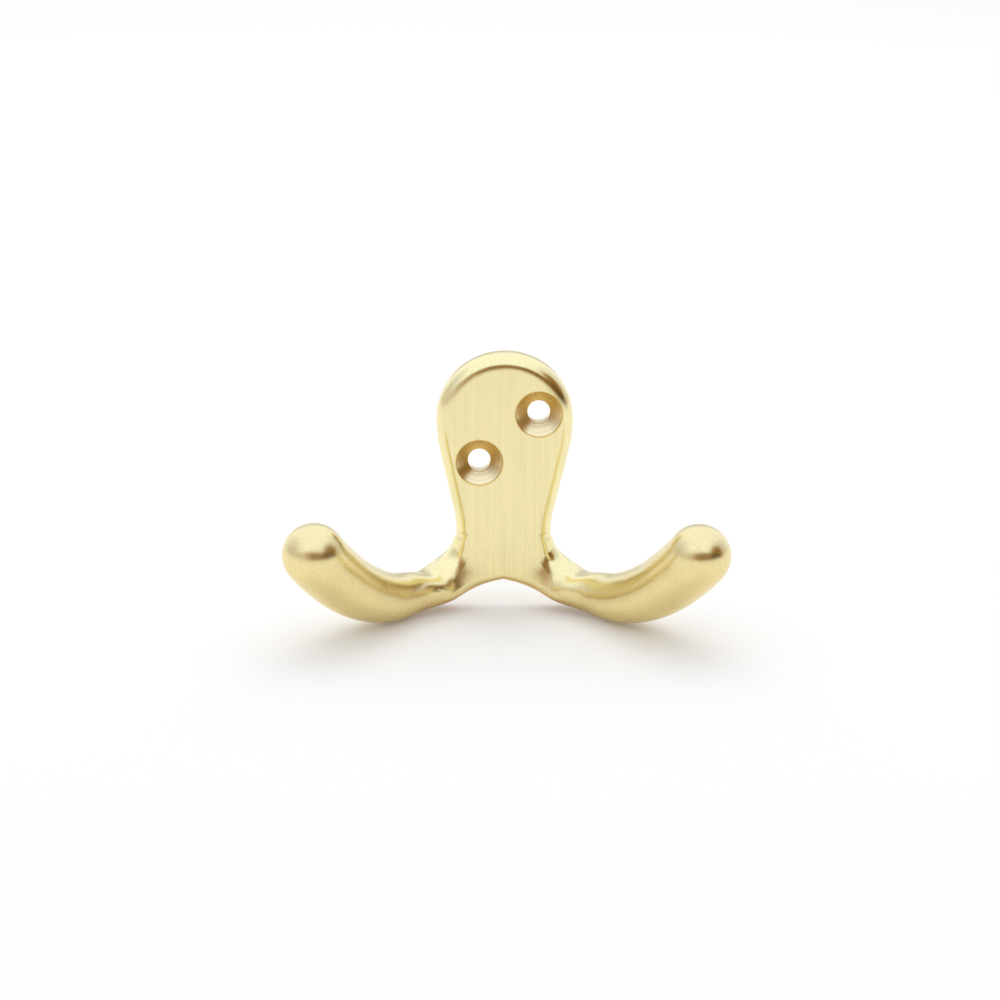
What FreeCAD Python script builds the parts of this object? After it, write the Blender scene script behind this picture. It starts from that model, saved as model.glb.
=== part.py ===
import FreeCAD, Part
import os
import Sketcher
from FreeCAD import Vector

# Double robe hook, one brass casting. Millimetres. X right, Y to the wall, Z up.
# The wall face lies on Y = 0 and the head of the plate is centred on the origin.
doc = FreeCAD.newDocument("double_robe_hook")
sheet = doc.addObject("Spreadsheet::Sheet", "dims")

sizes = [
    ("overall_width", 71.2),
    ("plate_thickness", 3.5),
    ("head_radius", 11.1),
    ("flank_radius", 24.0),
    ("neck_half_width", 7.75),
    ("neck_radius", 15.0),
    ("neck_drop", 19.0),
    ("edge_radius", 2.4),
    ("edge_swell", 0.9),
    ("under_radius", 2.0),
    ("rear_radius", 1.4),
    ("spare_metal", 2.0),
    ("bore_diameter", 3.7),
    ("sink_diameter", 7.6),
    ("sink_angle", 90.0),
    ("upper_hole_out", 5.5),
    ("upper_hole_rise", 1.3),
    ("lower_hole_out", 4.1),
    ("lower_hole_drop", 6.9),
    # Sections of the arm at the wall. The upper edge flares out of the side of the neck down to
    # the root. Reach and sink place the lower edge from the middle of the neck.
    ("flare_width", 11.0),
    ("flare_height", 7.77),
    ("flare_angle", 60),
    ("neck_overlap", 4.0),
    ("collar_reach", -4.2),
    ("collar_sink", 3.4),
    ("bend_reach", -3.3),
    ("bend_sink", 6.9),
    ("crotch_reach", 1.4),
    ("crotch_sink", 8.55),
    ("crotch_front", 3.7),
    ("crotch_turn", 1),
    ("foot_reach", 5.9),
    ("foot_sink", 10.05),
    ("foot_front", 4.6),
    ("foot_turn", 9),
    ("root_reach", 10.2),
    ("root_sink", 11.4),
    ("root_front", 6.4),
    ("root_turn", 26),
    # The round arm follows a curve with four control points: out from the middle, forward of the
    # wall and below the neck. Lead and lift lie at a share of the way out to the bulb.
    ("start_out", 14.5),
    ("start_forward", 5.3),
    ("start_sink", 9.4),
    ("lead_share", 0.4),
    ("lead_forward", 10.8),
    ("lead_sink", 10.3),
    ("lift_share", 0.75),
    ("lift_forward", 17.9),
    ("lift_sink", 4.0),
    ("bulb_forward", 22.2),
    ("bulb_sink", -2.5),
    ("arm_diameter", 6.8),
    ("bulb_diameter", 10.2),
]
for row, (alias, size) in enumerate(sizes, start=1):
    sheet.set("A%d" % row, alias)
    sheet.set("B%d" % row, str(size))
    sheet.setAlias("B%d" % row, alias)
doc.recompute()
value = sheet.get
pi = 3.14159265358979


def wall_sketch(body, name):
    sketch = body.newObject("Sketcher::SketchObject", name)
    planes = {feature.Role: feature for feature in body.Origin.OriginFeatures}
    sketch.AttachmentSupport = (planes["XZ_Plane"], [""])
    sketch.MapMode = "FlatFace"
    return sketch


def drive(sketch, index, name, expression):
    sketch.renameConstraint(index, name)
    sketch.setExpression("Constraints." + name, expression)


# Right half of the plate: head arc, full flank, straight side, hollow neck, then the middle.
plate_body = doc.addObject("PartDesign::Body", "plate_half")
outline = wall_sketch(plate_body, "plate_outline")
neck = Vector(value("neck_half_width"), -value("neck_drop"), 0)
head = Part.Circle(Vector(0, 0, 0), Vector(0, 0, 1), value("head_radius"))
flank_centre = Vector(value("head_radius") - value("flank_radius"), 0, 0)
flank = Part.Circle(flank_centre, Vector(0, 0, 1), value("flank_radius"))
hollow_centre = Vector(neck.x + value("neck_radius"), neck.y, 0)
hollow = Part.Circle(hollow_centre, Vector(0, 0, 1), value("neck_radius"))
lean = 0.27
flank_end = Part.ArcOfCircle(flank, 2 * pi - lean, 2 * pi).StartPoint
hollow_end = Part.ArcOfCircle(hollow, pi - lean, pi).StartPoint
outline.addGeometry(Part.ArcOfCircle(head, 0, pi / 2))
outline.addGeometry(Part.ArcOfCircle(flank, 2 * pi - lean, 2 * pi))
outline.addGeometry(Part.LineSegment(flank_end, hollow_end))
outline.addGeometry(Part.ArcOfCircle(hollow, pi - lean, pi))
outline.addGeometry(Part.LineSegment(neck, Vector(0, neck.y, 0)))
outline.addGeometry(Part.LineSegment(Vector(0, neck.y, 0), Vector(0, value("head_radius"), 0)))
outline.addConstraint(Sketcher.Constraint("Coincident", 0, 3, -1, 1))
outline.addConstraint(Sketcher.Constraint("PointOnObject", 0, 1, -1))
outline.addConstraint(Sketcher.Constraint("Tangent", 1, 2, 0, 1))
outline.addConstraint(Sketcher.Constraint("Tangent", 1, 1, 2, 1))
outline.addConstraint(Sketcher.Constraint("Tangent", 2, 2, 3, 1))
outline.addConstraint(Sketcher.Constraint("Coincident", 3, 2, 4, 1))
outline.addConstraint(Sketcher.Constraint("Horizontal", 3, 3, 3, 2))
outline.addConstraint(Sketcher.Constraint("Horizontal", 4))
outline.addConstraint(Sketcher.Constraint("Coincident", 4, 2, 5, 1))
outline.addConstraint(Sketcher.Constraint("PointOnObject", 5, 1, -2))
outline.addConstraint(Sketcher.Constraint("Coincident", 5, 2, 0, 2))
outline.addConstraint(Sketcher.Constraint("PointOnObject", 0, 2, -2))
drive(outline, outline.addConstraint(Sketcher.Constraint("Radius", 0, value("head_radius"))),
      "head", "dims.head_radius")
drive(outline, outline.addConstraint(Sketcher.Constraint("Radius", 1, value("flank_radius"))),
      "flank", "dims.flank_radius")
drive(outline, outline.addConstraint(Sketcher.Constraint("Radius", 3, value("neck_radius"))),
      "hollow", "dims.neck_radius")
drive(outline, outline.addConstraint(Sketcher.Constraint("DistanceX", -1, 1, 4, 1, neck.x)),
      "half_width", "dims.neck_half_width")
drive(outline, outline.addConstraint(Sketcher.Constraint("DistanceY", 4, 1, -1, 1, -neck.y)),
      "drop", "dims.neck_drop")

plate = plate_body.newObject("PartDesign::Pad", "plate")
plate.Profile = outline
plate.setExpression("Length", "dims.plate_thickness")
doc.recompute()


def outer_edges(feature, depth):
    names = []
    for number, edge in enumerate(feature.Shape.Edges, start=1):
        box = edge.BoundBox
        level = abs(box.YMin - depth) < 0.01 and abs(box.YMax - depth) < 0.01
        middle = box.XMax < 0.01
        seam = box.ZMax < 0.01 - value("neck_drop")
        if level and not middle and not seam:
            names.append("Edge%d" % number)
    return names


edge_round = plate_body.newObject("PartDesign::Fillet", "edge_round")
edge_round.Base = (plate, outer_edges(plate, -value("plate_thickness")))
edge_round.setExpression("Radius", "dims.edge_radius")
doc.recompute()


# A section stands across the arm: tilt 90 faces down, 0 outwards, and turn swings it forwards.
def place_section(sketch, middle, tilt, turn):
    out, forward, sink = middle
    sketch.setExpression("Placement.Base.x", out)
    sketch.setExpression("Placement.Base.y", "-(%s)" % forward)
    sketch.setExpression("Placement.Base.z", "-dims.neck_drop - (%s)" % sink)
    sketch.setExpression("Placement.Rotation.Yaw", "90 deg - " + turn)
    sketch.setExpression("Placement.Rotation.Roll", "90 deg + " + tilt)


# A section at the wall is a rounded rectangle that runs on behind the wall face.
def wall_section(name, upper, lower, turn, front, spare, corners):
    sketch = doc.addObject("Sketcher::SketchObject", name)
    half, radius = 4.0, 1.0
    arcs = []
    for k, (across, up) in enumerate(((-1, 1), (-1, -1), (1, -1), (1, 1))):
        centre = Vector(across * (half - radius), up * (half - radius), 0)
        circle = Part.Circle(centre, Vector(0, 0, 1), radius)
        arcs.append(Part.ArcOfCircle(circle, (k + 1) * pi / 2, (k + 2) * pi / 2))
    for k in range(4):
        sketch.addGeometry(Part.LineSegment(arcs[k - 1].EndPoint, arcs[k].StartPoint))
        sketch.addGeometry(arcs[k])
    for k in range(8):
        sketch.addConstraint(Sketcher.Constraint("Tangent", k, 2, (k + 1) % 8, 1))
    for k in (0, 4):
        sketch.addConstraint(Sketcher.Constraint("Horizontal", k))
    for k in (2, 6):
        sketch.addConstraint(Sketcher.Constraint("Vertical", k))
    width = "((%s) - (%s))" % (upper[0], lower[0])
    height = "((%s) - (%s))" % (lower[1], upper[1])
    reach = "sqrt(%s ^ 2 + %s ^ 2) / 2" % (width, height)
    sides = [
        ("top", "DistanceY", -1, 0, reach),
        ("front", "DistanceX", 2, -1, front),
        ("bottom", "DistanceY", 4, -1, reach),
        ("rear", "DistanceX", -1, 6, spare),
    ]
    for label, kind, start, end, size in sides:
        index = sketch.addConstraint(Sketcher.Constraint(kind, start, 1, end, 1, half))
        drive(sketch, index, label, size)
    for k, size in enumerate(corners):
        index = sketch.addConstraint(Sketcher.Constraint("Radius", 2 * k + 1, radius))
        drive(sketch, index, "corner%d" % k, size)
    middle = ["(%s + (%s)) / 2" % pair for pair in zip(upper, lower)]
    place_section(sketch, (middle[0], "0", middle[1]), "atan2(%s; %s)" % (width, height), turn)
    return sketch


# A round section is a circle in eight arcs, so that it pairs with the sides and corners above.
def round_section(name, middle, tilt, turn, diameter):
    sketch = doc.addObject("Sketcher::SketchObject", name)
    circle = Part.Circle(Vector(0, 0, 0), Vector(0, 0, 1), 4.0)
    for k in range(8):
        sketch.addGeometry(Part.ArcOfCircle(circle, (2 * k + 3) * pi / 8, (2 * k + 5) * pi / 8))
    for k in range(8):
        sketch.addConstraint(Sketcher.Constraint("Coincident", k, 3, -1, 1))
        sketch.addConstraint(Sketcher.Constraint("Angle", k, pi / 4))
    for k in range(7):
        sketch.addConstraint(Sketcher.Constraint("Coincident", k, 2, k + 1, 1))
    sketch.addConstraint(Sketcher.Constraint("Horizontal", 0, 1, 0, 2))
    index = sketch.addConstraint(Sketcher.Constraint("Radius", 0, 4.0))
    drive(sketch, index, "radius", "(%s) / 2" % diameter)
    place_section(sketch, middle, tilt, turn)
    return sketch


bulb_out = "(dims.overall_width - dims.bulb_diameter) / 2"
control_points = {
    "out": [
        "dims.start_out",
        "(dims.start_out + dims.lead_share * (%s - dims.start_out))" % bulb_out,
        "(dims.start_out + dims.lift_share * (%s - dims.start_out))" % bulb_out,
        bulb_out,
    ],
    "forward": ["dims.start_forward", "dims.lead_forward", "dims.lift_forward", "dims.bulb_forward"],
    "sink": ["dims.start_sink", "dims.lead_sink", "dims.lift_sink", "dims.bulb_sink"],
}


# One coordinate of the arm curve at a share of the way along it.
def along(axis, share):
    rest = 1 - share
    weights = (rest ** 3, 3 * share * rest ** 2, 3 * share ** 2 * rest, share ** 3)
    terms = ["%r * %s" % pair for pair in zip(weights, control_points[axis])]
    return "(%s)" % " + ".join(terms)


def slope(axis, share):
    rest = 1 - share
    weights = (rest ** 2, 2 * share * rest, share ** 2)
    points = control_points[axis]
    terms = ["%r * (%s - %s)" % (weights[k], points[k + 1], points[k]) for k in range(3)]
    return "(%s)" % " + ".join(terms)


# The arm swells along the curve and ends with its sides parallel, so the ball runs on from it.
def arm_station(name, share):
    middle = [along(axis, share) for axis in ("out", "forward", "sink")]
    out, forward, sink = [slope(axis, share) for axis in ("out", "forward", "sink")]
    tilt = "atan2(%s; sqrt(%s ^ 2 + %s ^ 2))" % (sink, out, forward)
    turn = "atan2(%s; %s)" % (forward, out)
    growth = 2 * share - share ** 2
    diameter = "%r * dims.arm_diameter + %r * dims.bulb_diameter" % (1 - growth, growth)
    return round_section(name, middle, tilt, turn, diameter)


# The upper edge leaves the side of the neck along part of an ellipse.
def upper_edge(step):
    angle = "(dims.flare_angle * 1 deg * (%d / 5) ^ 1.15)" % step
    out = "dims.neck_half_width + dims.flare_width * (1 - cos(%s))" % angle
    return out, "dims.flare_height * sin(%s)" % angle


def lower_edge(name):
    return "dims.%s_reach" % name, "dims.%s_sink" % name


# The rounding of the front edge swells below the neck and shrinks again towards the root.
def edge_rounds(step):
    front = "dims.edge_radius + dims.edge_swell * sin(%d * 30 deg) ^ 2" % step
    return front, "dims.under_radius", "dims.rear_radius", "dims.rear_radius"


# The arm runs down out of the neck, round the crotch, then outwards, forwards and up.
flat = "dims.plate_thickness"
spare = "dims.spare_metal"
past_middle = "-dims.neck_overlap"
wall_stations = [
    ("arm_neck", (past_middle, "0"), "0", flat, spare),
    ("arm_collar", lower_edge("collar"), "0", flat, spare),
    ("arm_bend", lower_edge("bend"), "0", flat, spare),
    ("arm_crotch", lower_edge("crotch"), "dims.crotch_turn", "dims.crotch_front", spare),
    ("arm_foot", lower_edge("foot"), "dims.foot_turn", "dims.foot_front", spare),
    ("arm_root", lower_edge("root"), "dims.root_turn", "dims.root_front", "0.4 * dims.spare_metal"),
]
sections = []
for step, (name, lower, turn, front, behind) in enumerate(wall_stations):
    turn_angle = turn + " * 1 deg"
    section = wall_section(name, upper_edge(step), lower, turn_angle, front, behind, edge_rounds(step))
    sections.append(section)
stations = 6
for k in range(stations + 1):
    sections.append(arm_station("arm_station%d" % k, k / stations))
doc.recompute()

arm = doc.addObject("Part::Loft", "arm")
arm.Sections = sections
arm.Solid = True

bulb_end = doc.addObject("Part::Sphere", "bulb_end")
bulb_end.AttachmentSupport = (sections[-1], [""])
bulb_end.MapMode = "ObjectXY"
bulb_end.Angle1 = 0
bulb_end.Angle2 = 90
bulb_end.setExpression("Radius", "dims.bulb_diameter / 2")

whole_arm = doc.addObject("Part::MultiFuse", "whole_arm")
whole_arm.Shapes = [arm, bulb_end]

# The arm is cut true on the middle plane and flat on the wall face, then joined to the plate.
keep = doc.addObject("Part::Box", "keep")
keep.setExpression("Length", "dims.overall_width")
keep.setExpression("Width", "dims.bulb_forward + dims.bulb_diameter")
keep.setExpression("Height", "dims.neck_drop + 3 * dims.root_sink")
keep.setExpression("Placement.Base.y", "-dims.bulb_forward - dims.bulb_diameter")
keep.setExpression("Placement.Base.z", "-dims.neck_drop - 3 * dims.root_sink")
trimmed_arm = doc.addObject("Part::MultiCommon", "trimmed_arm")
trimmed_arm.Shapes = [whole_arm, keep]
right_half = doc.addObject("Part::MultiFuse", "right_half")
right_half.Shapes = [plate_body, trimmed_arm]
left_half = doc.addObject("Part::Mirroring", "left_half")
left_half.Source = right_half
left_half.Normal = Vector(1, 0, 0)
both_halves = doc.addObject("Part::MultiFuse", "both_halves")
both_halves.Shapes = [right_half, left_half]
both_halves.Refine = True
doc.recompute()

body = doc.addObject("PartDesign::Body", "hook_casting")
body.Label = "hook_casting"
body.BaseFeature = both_halves
doc.recompute()

# Two countersunk screw holes on a diagonal, drilled from the front face.
hole_centres = wall_sketch(body, "hole_centres")
hole_centres.setExpression("AttachmentOffset.Base.z", "dims.plate_thickness")
upper_hole = Vector(value("upper_hole_out"), value("upper_hole_rise"), 0)
lower_hole = Vector(-value("lower_hole_out"), -value("lower_hole_drop"), 0)
for centre in (upper_hole, lower_hole):
    hole_centres.addGeometry(Part.Circle(centre, Vector(0, 0, 1), value("bore_diameter") / 2))
hole_centres.addConstraint(Sketcher.Constraint("Equal", 0, 1))
hole_sizes = [
    ("bore", Sketcher.Constraint("Diameter", 0, value("bore_diameter")), "dims.bore_diameter"),
    ("upper_out", Sketcher.Constraint("DistanceX", -1, 1, 0, 3, upper_hole.x), "dims.upper_hole_out"),
    ("upper_rise", Sketcher.Constraint("DistanceY", -1, 1, 0, 3, upper_hole.y), "dims.upper_hole_rise"),
    ("lower_out", Sketcher.Constraint("DistanceX", 1, 3, -1, 1, -lower_hole.x), "dims.lower_hole_out"),
    ("lower_drop", Sketcher.Constraint("DistanceY", 1, 3, -1, 1, -lower_hole.y), "dims.lower_hole_drop"),
]
for name, constraint, expression in hole_sizes:
    drive(hole_centres, hole_centres.addConstraint(constraint), name, expression)
doc.recompute()

holes = body.newObject("PartDesign::Hole", "screw_holes")
holes.Profile = hole_centres
holes.DepthType = "ThroughAll"
holes.Threaded = False
holes.HoleCutType = "Countersink"
holes.HoleCutCustomValues = True
holes.setExpression("Diameter", "dims.bore_diameter")
holes.setExpression("HoleCutDiameter", "dims.sink_diameter")
holes.setExpression("HoleCutCountersinkAngle", "dims.sink_angle")
doc.recompute()
body.Tip = holes
doc.recompute()

for item in doc.Objects:
    if "Invalid" in item.State or "Error" in item.State:
        raise RuntimeError("%s is %s" % (item.Name, item.State))
shape = body.Shape
if shape.isNull() or not shape.isValid() or len(shape.Solids) != 1:
    raise RuntimeError("the casting is not one valid solid")
if holes.Shape.Volume >= both_halves.Shape.Volume - 20.0:
    raise RuntimeError("the screw holes cut nothing")

os.makedirs("parts", exist_ok=True)
shape.exportStep("parts/hook_casting.step")
print("volume", round(shape.Volume, 1), "box", shape.BoundBox)
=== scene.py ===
import bpy, math
from mathutils import Matrix, Vector


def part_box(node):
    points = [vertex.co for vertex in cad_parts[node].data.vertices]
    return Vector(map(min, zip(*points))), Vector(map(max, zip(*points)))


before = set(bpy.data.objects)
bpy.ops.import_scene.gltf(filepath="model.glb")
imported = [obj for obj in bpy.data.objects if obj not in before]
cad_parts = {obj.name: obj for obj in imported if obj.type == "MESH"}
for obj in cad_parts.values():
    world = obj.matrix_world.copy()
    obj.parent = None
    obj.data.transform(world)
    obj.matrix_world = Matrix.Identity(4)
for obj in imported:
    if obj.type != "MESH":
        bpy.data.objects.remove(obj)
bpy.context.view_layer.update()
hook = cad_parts["hook_casting"]
print("frame loaded", len(hook.data.polygons), "faces")


def linear(hexColour):
    parts = [int(hexColour[i:i + 2], 16) / 255 for i in (1, 3, 5)]
    return [p / 12.92 if p <= 0.04045 else ((p + 0.055) / 1.055) ** 2.4 for p in parts] + [1.0]


def perMetre(mm):  # pattern scale for a feature of this size
    return 1000.0 / mm


def addNode(tree, kind, settings=None, links=None):  # a link is a socket, or a node for its first output
    node = tree.nodes.new("ShaderNode" + kind)
    for key, val in (settings or {}).items():
        if isinstance(key, int) or key in node.inputs:
            node.inputs[key].default_value = val
        else:
            setattr(node, key, val)
    for key, source in (links or {}).items():
        socket = source.outputs[0] if isinstance(source, bpy.types.Node) else source
        tree.links.new(socket, node.inputs[key])
    return node


def newMaterial(name):
    mat = bpy.data.materials.new(name)
    mat.use_nodes = True
    mat.node_tree.nodes.clear()
    return mat, mat.node_tree


# satin brass, cast, linished upright on the plate and softly polished on the arms:
# pale on the lined flat face, glossier on its rounded edge, warmer on the arms,
# with turned rings in the countersinks
# painted light in this finish: the arms' paler upper sides are a painted highlight and their deeper gold
# undersides painted shade; under the crotch, the countersinks' down-facing sides and their rims carry painted
# shade too
brass = {
    "plate": "#f8ecb6", "arm": "#f3e4ae", "under": "#f3e1a2", "crotch": "#c89c4a",
    "sink": "#f9ebc0", "sinkShadedTop": "#efd286", "rim": "#d9b45c", "rimShare": 0.8,
    "plateRough": 0.27, "edgeRough": 0.19, "armRough": 0.27, "sinkRough": 0.25,
    # patterns in mm, and how far they change tone and roughness
    "brushGap": 0.3, "brushLength": 20.0, "turnGap": 0.14, "cloud": 6.0, "grain": 0.35, "hand": 8.0,
    "darkest": 0.95, "lightest": 1.02, "ringDark": 0.85, "ringLight": 1.05,
    "smoothest": 0.85, "roughest": 1.15,
    # relief: heights in metres, and strengths
    "fineHeight": 0.00005, "handHeight": 0.0003,
    "brushOff": 0.02, "brushOn": 0.06, "ringCut": 0.35, "grainCut": 0.1,
    # where the finishes change, in metres
    "plateHalf": 0.012, "armHalf": 0.016, "plateFoot": -0.022, "armFoot": -0.030,
    "crotchHalf": 0.008, "crotchEnd": 0.020,
    "holes": [(0.0055, 0.0013), (-0.0041, -0.0069)], "sinkRadius": 0.0038, "sinkBlur": 0.00006,
    "rimCore": 0.00005, "rimEnd": 0.0002, "wallEnd": -0.00005, "wallClear": -0.0002,
}
mat, tree = newMaterial("satin_brass")
coords = addNode(tree, "TexCoord")
onHook = coords.outputs["Object"]
place = addNode(tree, "SeparateXYZ", links={"Vector": onHook})
facing = addNode(tree, "SeparateXYZ", links={"Vector": coords.outputs["Normal"]})

# the plate: above the crotch and between the arms, and its flat face looks forwards
aside = addNode(tree, "Math", {"operation": "ABSOLUTE"}, {0: place.outputs["X"]})
inner = addNode(tree, "MapRange", {"From Min": brass["armHalf"], "From Max": brass["plateHalf"]},
                {"Value": aside})
high = addNode(tree, "MapRange", {"From Min": brass["armFoot"], "From Max": brass["plateFoot"]},
               {"Value": place.outputs["Z"]})
onPlate = addNode(tree, "Math", {"operation": "MULTIPLY"}, {0: inner, 1: high})
forward = addNode(tree, "MapRange", {"From Min": -0.93, "From Max": -0.995}, {"Value": facing.outputs["Y"]})
flat = addNode(tree, "Math", {"operation": "MULTIPLY"}, {0: forward, 1: onPlate})

# distance from the nearer screw hole, seen from the front, and none of it on the wall face
fromFront = addNode(tree, "CombineXYZ", links={"X": place.outputs["X"], "Z": place.outputs["Z"]})
away = [addNode(tree, "VectorMath", {"operation": "DISTANCE", 1: (x, 0, z)}, {0: fromFront}).outputs["Value"]
        for x, z in brass["holes"]]
near = addNode(tree, "Math", {"operation": "MINIMUM"}, {0: away[0], 1: away[1]})
overSink = addNode(tree, "MapRange", {"From Min": brass["sinkRadius"] + brass["sinkBlur"],
                                      "From Max": brass["sinkRadius"] - brass["sinkBlur"]}, {"Value": near})
offWall = addNode(tree, "MapRange", {"From Min": brass["wallEnd"], "From Max": brass["wallClear"]},
                  {"Value": place.outputs["Y"]})
inSink = addNode(tree, "Math", {"operation": "MULTIPLY"}, {0: overSink, 1: offWall})

# patterns: upright brush lines, slow change of tone, grain and unevenness of hand polish, countersink rings
# real brush lines are about 0.1 mm apart and real rings finer still, both are drawn coarser so that they show
acrossLines = perMetre(brass["brushGap"])
alongLines = perMetre(brass["brushLength"])
brushMap = addNode(tree, "Mapping", {"Scale": (acrossLines, acrossLines, alongLines)}, {"Vector": onHook})
brush = addNode(tree, "TexNoise", {"Scale": 1.0, "Detail": 3.0, "Roughness": 0.6}, {"Vector": brushMap})
cloud, grain, hand = [
    addNode(tree, "TexNoise", {"Scale": perMetre(brass[pattern]), "Detail": detail}, {"Vector": onHook})
    for pattern, detail in (("cloud", 3.0), ("grain", 2.0), ("hand", 1.0))]
ringCount = addNode(tree, "Math", {"operation": "MULTIPLY", 1: perMetre(brass["turnGap"])}, {0: near})
rings = addNode(tree, "TexNoise", {"noise_dimensions": "1D", "Scale": 1.0, "Detail": 2.0}, {"W": ringCount})

# colour of arms and plate: the arms are painted paler where they face up, a painted highlight, and deeper
# gold where they face down, painted shade
upward = addNode(tree, "MapRange", {"From Min": -0.4, "From Max": 0.5}, {"Value": facing.outputs["Z"]})
armLitAndShaded = addNode(tree, "Mix", {"data_type": "RGBA", 6: linear(brass["under"]), 7: linear(brass["arm"])},
                  {0: upward})
tone = addNode(tree, "Mix", {"data_type": "RGBA", 7: linear(brass["plate"])},
               {0: onPlate, 6: armLitAndShaded.outputs[2]})

# under the crotch, painted shade: the down-facing edge between the arms is painted a deeper brown, standing
# in for the shadowed floor it reflects
downward = addNode(tree, "MapRange", {"From Min": -0.25, "From Max": -0.8}, {"Value": facing.outputs["Z"]})
middle = addNode(tree, "MapRange", {"From Min": brass["crotchEnd"], "From Max": brass["crotchHalf"]},
                 {"Value": aside})
crotchShadeMask = addNode(tree, "Math", {"operation": "MULTIPLY"}, {0: downward, 1: middle})
crotchPaintedShade = addNode(tree, "Mix", {"data_type": "RGBA", 7: linear(brass["crotch"])},
                     {0: crotchShadeMask, 6: tone.outputs[2]})

# countersinks, with painted shade: browner on the side of the cone that looks down, paler on the side that
# looks up, and a painted brown shade line at the rim
coneLitAndShaded = addNode(tree, "Mix", {"data_type": "RGBA", 6: linear(brass["sinkShadedTop"]), 7: linear(brass["sink"])},
                   {0: upward})
sinkTone = addNode(tree, "Mix", {"data_type": "RGBA"},
                   {0: inSink, 6: crotchPaintedShade.outputs[2], 7: coneLitAndShaded.outputs[2]})
# the brown rim line is painted shade along the countersink's edge
fromRim = addNode(tree, "Math", {"operation": "SUBTRACT", 1: brass["sinkRadius"]}, {0: near})
rimGap = addNode(tree, "Math", {"operation": "ABSOLUTE"}, {0: fromRim})
overRim = addNode(tree, "MapRange", {"From Min": brass["rimEnd"], "From Max": brass["rimCore"],
                                     "To Max": brass["rimShare"]}, {"Value": rimGap})
rimShadeMask = addNode(tree, "Math", {"operation": "MULTIPLY"}, {0: overRim, 1: offWall})
rimPaintedShade = addNode(tree, "Mix", {"data_type": "RGBA", 7: linear(brass["rim"])},
                  {0: rimShadeMask, 6: sinkTone.outputs[2]})

# lines, clouds and rings darken or lighten it a little
lineTone = addNode(tree, "MapRange", {"From Min": 0.35, "From Max": 0.65,
                                      "To Min": brass["darkest"], "To Max": brass["lightest"]},
                   {"Value": brush})
cloudTone = addNode(tree, "MapRange", {"From Min": 0.3, "From Max": 0.7,
                                       "To Min": brass["darkest"], "To Max": brass["lightest"]},
                    {"Value": cloud})
ringTone = addNode(tree, "MapRange", {"From Min": 0.3, "From Max": 0.7,
                                      "To Min": brass["ringDark"], "To Max": brass["ringLight"]},
                   {"Value": rings})
grooves = addNode(tree, "Mix", {"data_type": "FLOAT"}, {0: inSink, 2: lineTone, 3: ringTone})
shade = addNode(tree, "Math", {"operation": "MULTIPLY"}, {0: grooves, 1: cloudTone})
colour = addNode(tree, "VectorMath", {"operation": "SCALE"}, {0: rimPaintedShade.outputs[2], "Scale": shade})

# roughness
edgeRough = addNode(tree, "MapRange", {"To Min": brass["armRough"], "To Max": brass["edgeRough"]},
                    {"Value": onPlate})
plateRough = addNode(tree, "Mix", {"data_type": "FLOAT", 3: brass["plateRough"]}, {0: flat, 2: edgeRough})
sinkRough = addNode(tree, "Mix", {"data_type": "FLOAT", 3: brass["sinkRough"]}, {0: inSink, 2: plateRough})
roughVary = addNode(tree, "MapRange", {"From Min": 0.3, "From Max": 0.7,
                                       "To Min": brass["smoothest"], "To Max": brass["roughest"]},
                    {"Value": cloud})
rough = addNode(tree, "Math", {"operation": "MULTIPLY"}, {0: sinkRough, 1: roughVary})

# relief: brush lines, rings, hand polish on the arms alone, grain
brushDepth = addNode(tree, "MapRange", {"To Min": brass["brushOff"], "To Max": brass["brushOn"]},
                     {"Value": flat})
brushBump = addNode(tree, "Bump", {"Distance": brass["fineHeight"]},
                    {"Strength": brushDepth, "Height": brush})
ringDepth = addNode(tree, "Math", {"operation": "MULTIPLY", 1: brass["ringCut"]}, {0: inSink})
ringBump = addNode(tree, "Bump", {"Distance": brass["fineHeight"]},
                   {"Strength": ringDepth, "Height": rings, "Normal": brushBump})
handDepth = addNode(tree, "MapRange", {"To Min": 1.0, "To Max": 0.0}, {"Value": onPlate})
handBump = addNode(tree, "Bump", {"Distance": brass["handHeight"]},
                   {"Strength": handDepth, "Height": hand, "Normal": ringBump})
bump = addNode(tree, "Bump", {"Strength": brass["grainCut"], "Distance": brass["fineHeight"]},
               {"Height": grain, "Normal": handBump})
bsdf = addNode(tree, "BsdfPrincipled", {"Metallic": 1.0},
               {"Base Color": colour, "Roughness": rough, "Normal": bump})
addNode(tree, "OutputMaterial", links={"Surface": bsdf})
for slot in hook.material_slots:
    slot.material = mat
print("brass done")

# floor under the arms: white paper, lifted to white where it is seen, mirrored or seen through glass
floorInfo = {"size": 6.0, "gap": 0.0001, "colour": "#e6e3dd", "glow": 0.13}
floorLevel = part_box("hook_casting")[0].z - floorInfo["gap"]
bpy.ops.object.select_all(action="DESELECT")
bpy.ops.mesh.primitive_plane_add(size=floorInfo["size"], location=(0, 0, floorLevel))
floor = bpy.context.object
floor.name = "floor"
bpy.ops.object.transform_apply(location=True)
mat, tree = newMaterial("paper")
paper = addNode(tree, "BsdfDiffuse", {"Color": linear(floorInfo["colour"])})
rays = addNode(tree, "LightPath").outputs
mirrored = addNode(tree, "Math", {"operation": "MAXIMUM"},
                   {0: rays["Is Camera Ray"], 1: rays["Is Glossy Ray"]})
looked = addNode(tree, "Math", {"operation": "MAXIMUM"}, {0: mirrored, 1: rays["Is Transmission Ray"]})
glow = addNode(tree, "Math", {"operation": "MULTIPLY", 1: floorInfo["glow"]}, {0: looked})
lift = addNode(tree, "Emission", links={"Strength": glow})
both = addNode(tree, "AddShader", links={0: paper, 1: lift})
addNode(tree, "OutputMaterial", links={"Surface": both})
floor.data.materials.append(mat)
print("floor done")

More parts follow.
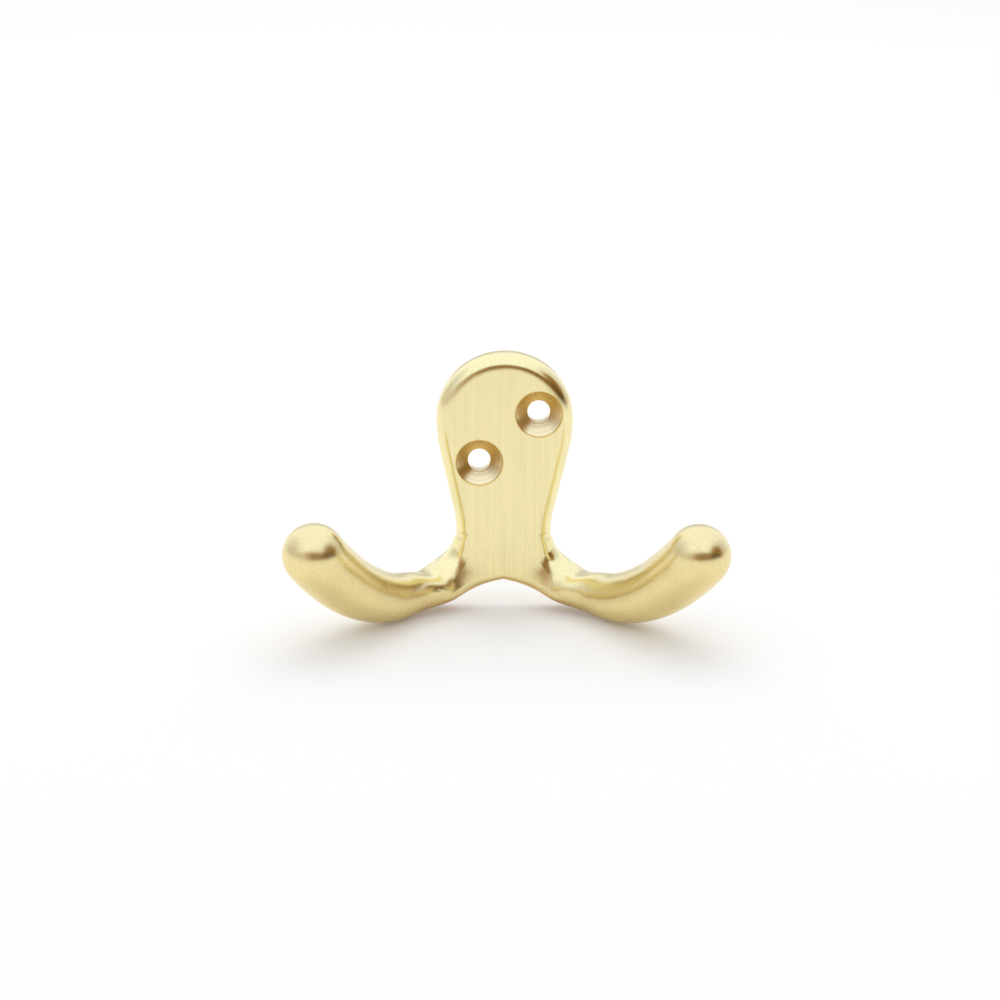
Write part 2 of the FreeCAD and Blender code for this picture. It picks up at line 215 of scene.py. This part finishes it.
# studio: a broad white canopy overhead and behind, white to the left, dim in front and to the right
studio = {
    "canopy": 1.25, "ends": 0.8, "canopyFront": 28.0, "left": 0.75, "front": 0.27,
    "flag": (0.872, -0.415, 0.26), "flagShare": 0.3, "behindShare": 0.65,
    "cool": "#f0f5ff", "warm": "#ffc062",
}
world = bpy.data.worlds.new("studio")
bpy.context.scene.world = world
world.use_nodes = True
tree = world.node_tree
tree.nodes.clear()
around = addNode(tree, "TexCoord").outputs["Generated"]
heading = addNode(tree, "SeparateXYZ", links={"Vector": around})
rise = math.radians(studio["canopyFront"])
overEdge = addNode(tree, "VectorMath", {"operation": "DOT_PRODUCT", 1: (0, math.sin(rise), math.cos(rise))},
                   {0: around})
over = addNode(tree, "MapRange", {"From Min": -0.05, "From Max": 0.05}, {"Value": overEdge.outputs["Value"]})
sideways = addNode(tree, "Math", {"operation": "ABSOLUTE"}, {0: heading.outputs["X"]})
canopy = addNode(tree, "MapRange", {"From Min": 0.6, "From Max": 0.95,
                                    "To Min": studio["canopy"], "To Max": studio["ends"]},
                 {"Value": sideways})
leftSide = addNode(tree, "MapRange", {"From Min": -0.15, "From Max": -0.6, "To Min": studio["front"],
                                      "To Max": studio["left"]}, {"Value": heading.outputs["X"]})
openSky = addNode(tree, "Mix", {"data_type": "FLOAT"}, {0: over, 2: leftSide, 3: canopy})
# a dark flag to the right, and a dimmer patch straight behind
flagSide = addNode(tree, "VectorMath", {"operation": "DOT_PRODUCT", 1: studio["flag"]}, {0: around})
flag = addNode(tree, "MapRange", {"From Min": 0.87, "From Max": 0.96, "To Min": 1.0,
                                  "To Max": studio["flagShare"]}, {"Value": flagSide.outputs["Value"]})
flagged = addNode(tree, "Math", {"operation": "MULTIPLY"}, {0: openSky, 1: flag})
behind = addNode(tree, "MapRange", {"From Min": 0.84, "From Max": 0.95, "To Min": 1.0,
                                    "To Max": studio["behindShare"]}, {"Value": heading.outputs["Y"]})
level = addNode(tree, "Math", {"operation": "MULTIPLY"}, {0: flagged, 1: behind})
# where the room is dim it is warm
bright = addNode(tree, "MapRange", {"From Min": 0.3, "From Max": 0.9}, {"Value": level})
tint = addNode(tree, "Mix", {"data_type": "RGBA", 6: linear(studio["warm"]), 7: linear(studio["cool"])},
               {0: bright})
room = addNode(tree, "Background", links={"Color": tint.outputs[2], "Strength": level})
addNode(tree, "OutputWorld", links={"Surface": room})

# lamp for the shadow on the floor, left out of reflections
lampInfo = {"at": (0.0, 0.28, 0.5), "aim": (0, -0.02, -0.03), "size": 0.5, "power": 0.8}
bpy.ops.object.select_all(action="DESELECT")
bpy.ops.object.light_add(type="AREA", location=lampInfo["at"])
lamp = bpy.context.object
lamp.name = "lamp"
lamp.data.size = lampInfo["size"]
lamp.data.energy = lampInfo["power"]
lampWay = Vector(lampInfo["aim"]) - Vector(lampInfo["at"])
lamp.rotation_euler = lampWay.to_track_quat("-Z", "Y").to_euler()
lamp.visible_glossy = False
print("lights done")

# camera, placed to match the photograph
view = {
    "azimuth": -1.5, "elevation": 17.5, "roll": 0.6, "distance": 0.6,
    "target": (-0.0006, 0, -0.0143), "width": 0.1639, "sensor": 36, "nearest": 0.01,
}
az, el, roll = [math.radians(view[angle]) for angle in ("azimuth", "elevation", "roll")]
back = Vector((math.sin(az) * math.cos(el), -math.cos(az) * math.cos(el), math.sin(el)))
upright = back.to_track_quat("Z", "Y").to_matrix()
camera = bpy.data.objects.new("camera", bpy.data.cameras.new("camera"))
bpy.context.scene.collection.objects.link(camera)
camera.location = Vector(view["target"]) + back * view["distance"]
camera.rotation_euler = (upright @ Matrix.Rotation(roll, 3, "Z")).to_euler()
camera.data.sensor_width = view["sensor"]
camera.data.lens = view["sensor"] * view["distance"] / view["width"]
camera.data.clip_start = view["nearest"]
bpy.context.scene.camera = camera
bpy.context.scene.view_settings.view_transform = "Standard"
print("camera done")
